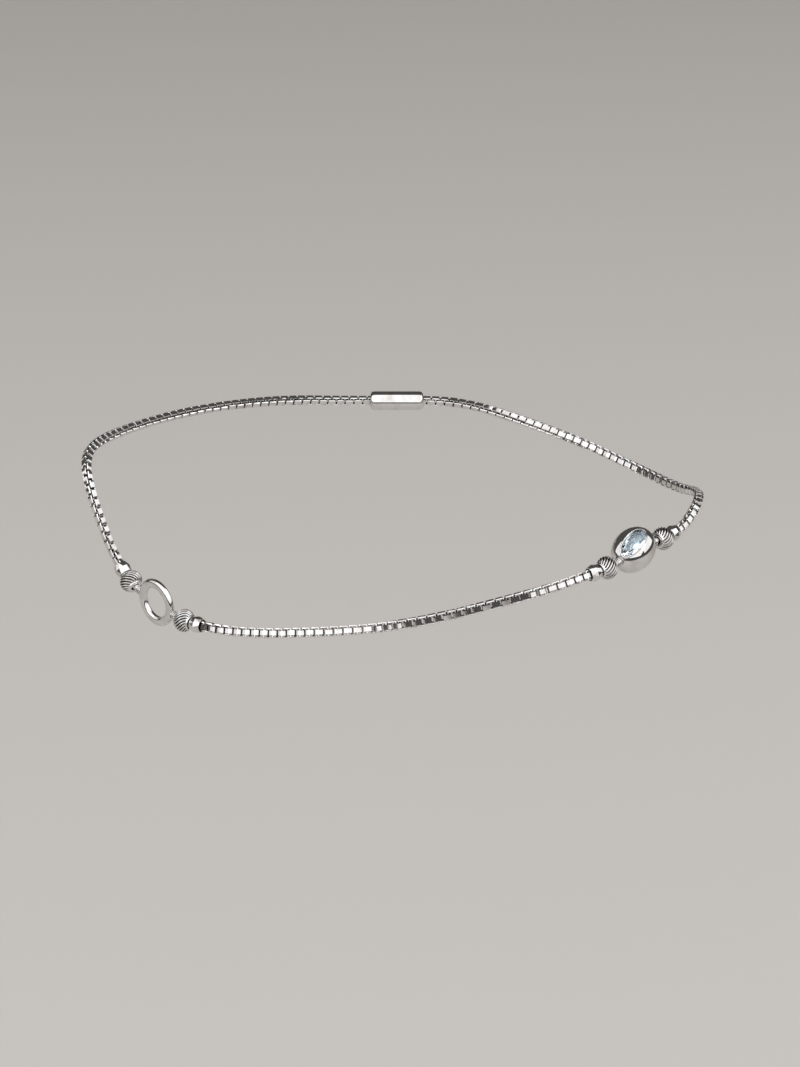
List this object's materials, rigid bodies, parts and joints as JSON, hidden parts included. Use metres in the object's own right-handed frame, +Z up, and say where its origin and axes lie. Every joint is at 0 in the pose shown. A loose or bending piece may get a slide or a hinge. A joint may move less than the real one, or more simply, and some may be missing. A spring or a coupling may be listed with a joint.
{
  "type": "payal anklet",
  "caption": "Silver payal anklet: fine box chain loop with a plain open ring and a domed setting with an oval stone, each between fluted and faceted beads.",
  "frame": {"origin": "middle of the space that the ankle fills, at about the mean height of the loop", "axes": "+Z up along the leg, +X towards the instep (the loop's longest way), +Y to the far side of the ankle, where the clasp is"},
  "size_m": [0.0926, 0.0644, 0.0195],
  "materials": {
    "polished_silver": "polished sterling silver",
    "clear_stone": "clear, faintly blue, faceted"
  },
  "bodies": {
    "root": {"chain_front": "polished_silver", "chain_instep": "polished_silver", "chain_heel": "polished_silver", "open_ring": "polished_silver", "stone_setting": "polished_silver", "stone": "clear_stone", "fluted_bead_1": "polished_silver", "fluted_bead_2": "polished_silver", "fluted_bead_3": "polished_silver", "fluted_bead_4": "polished_silver", "faceted_bead_1": "polished_silver", "faceted_bead_2": "polished_silver", "faceted_bead_3": "polished_silver", "faceted_bead_4": "polished_silver", "clasp": "polished_silver"}
  },
  "joints": []
}
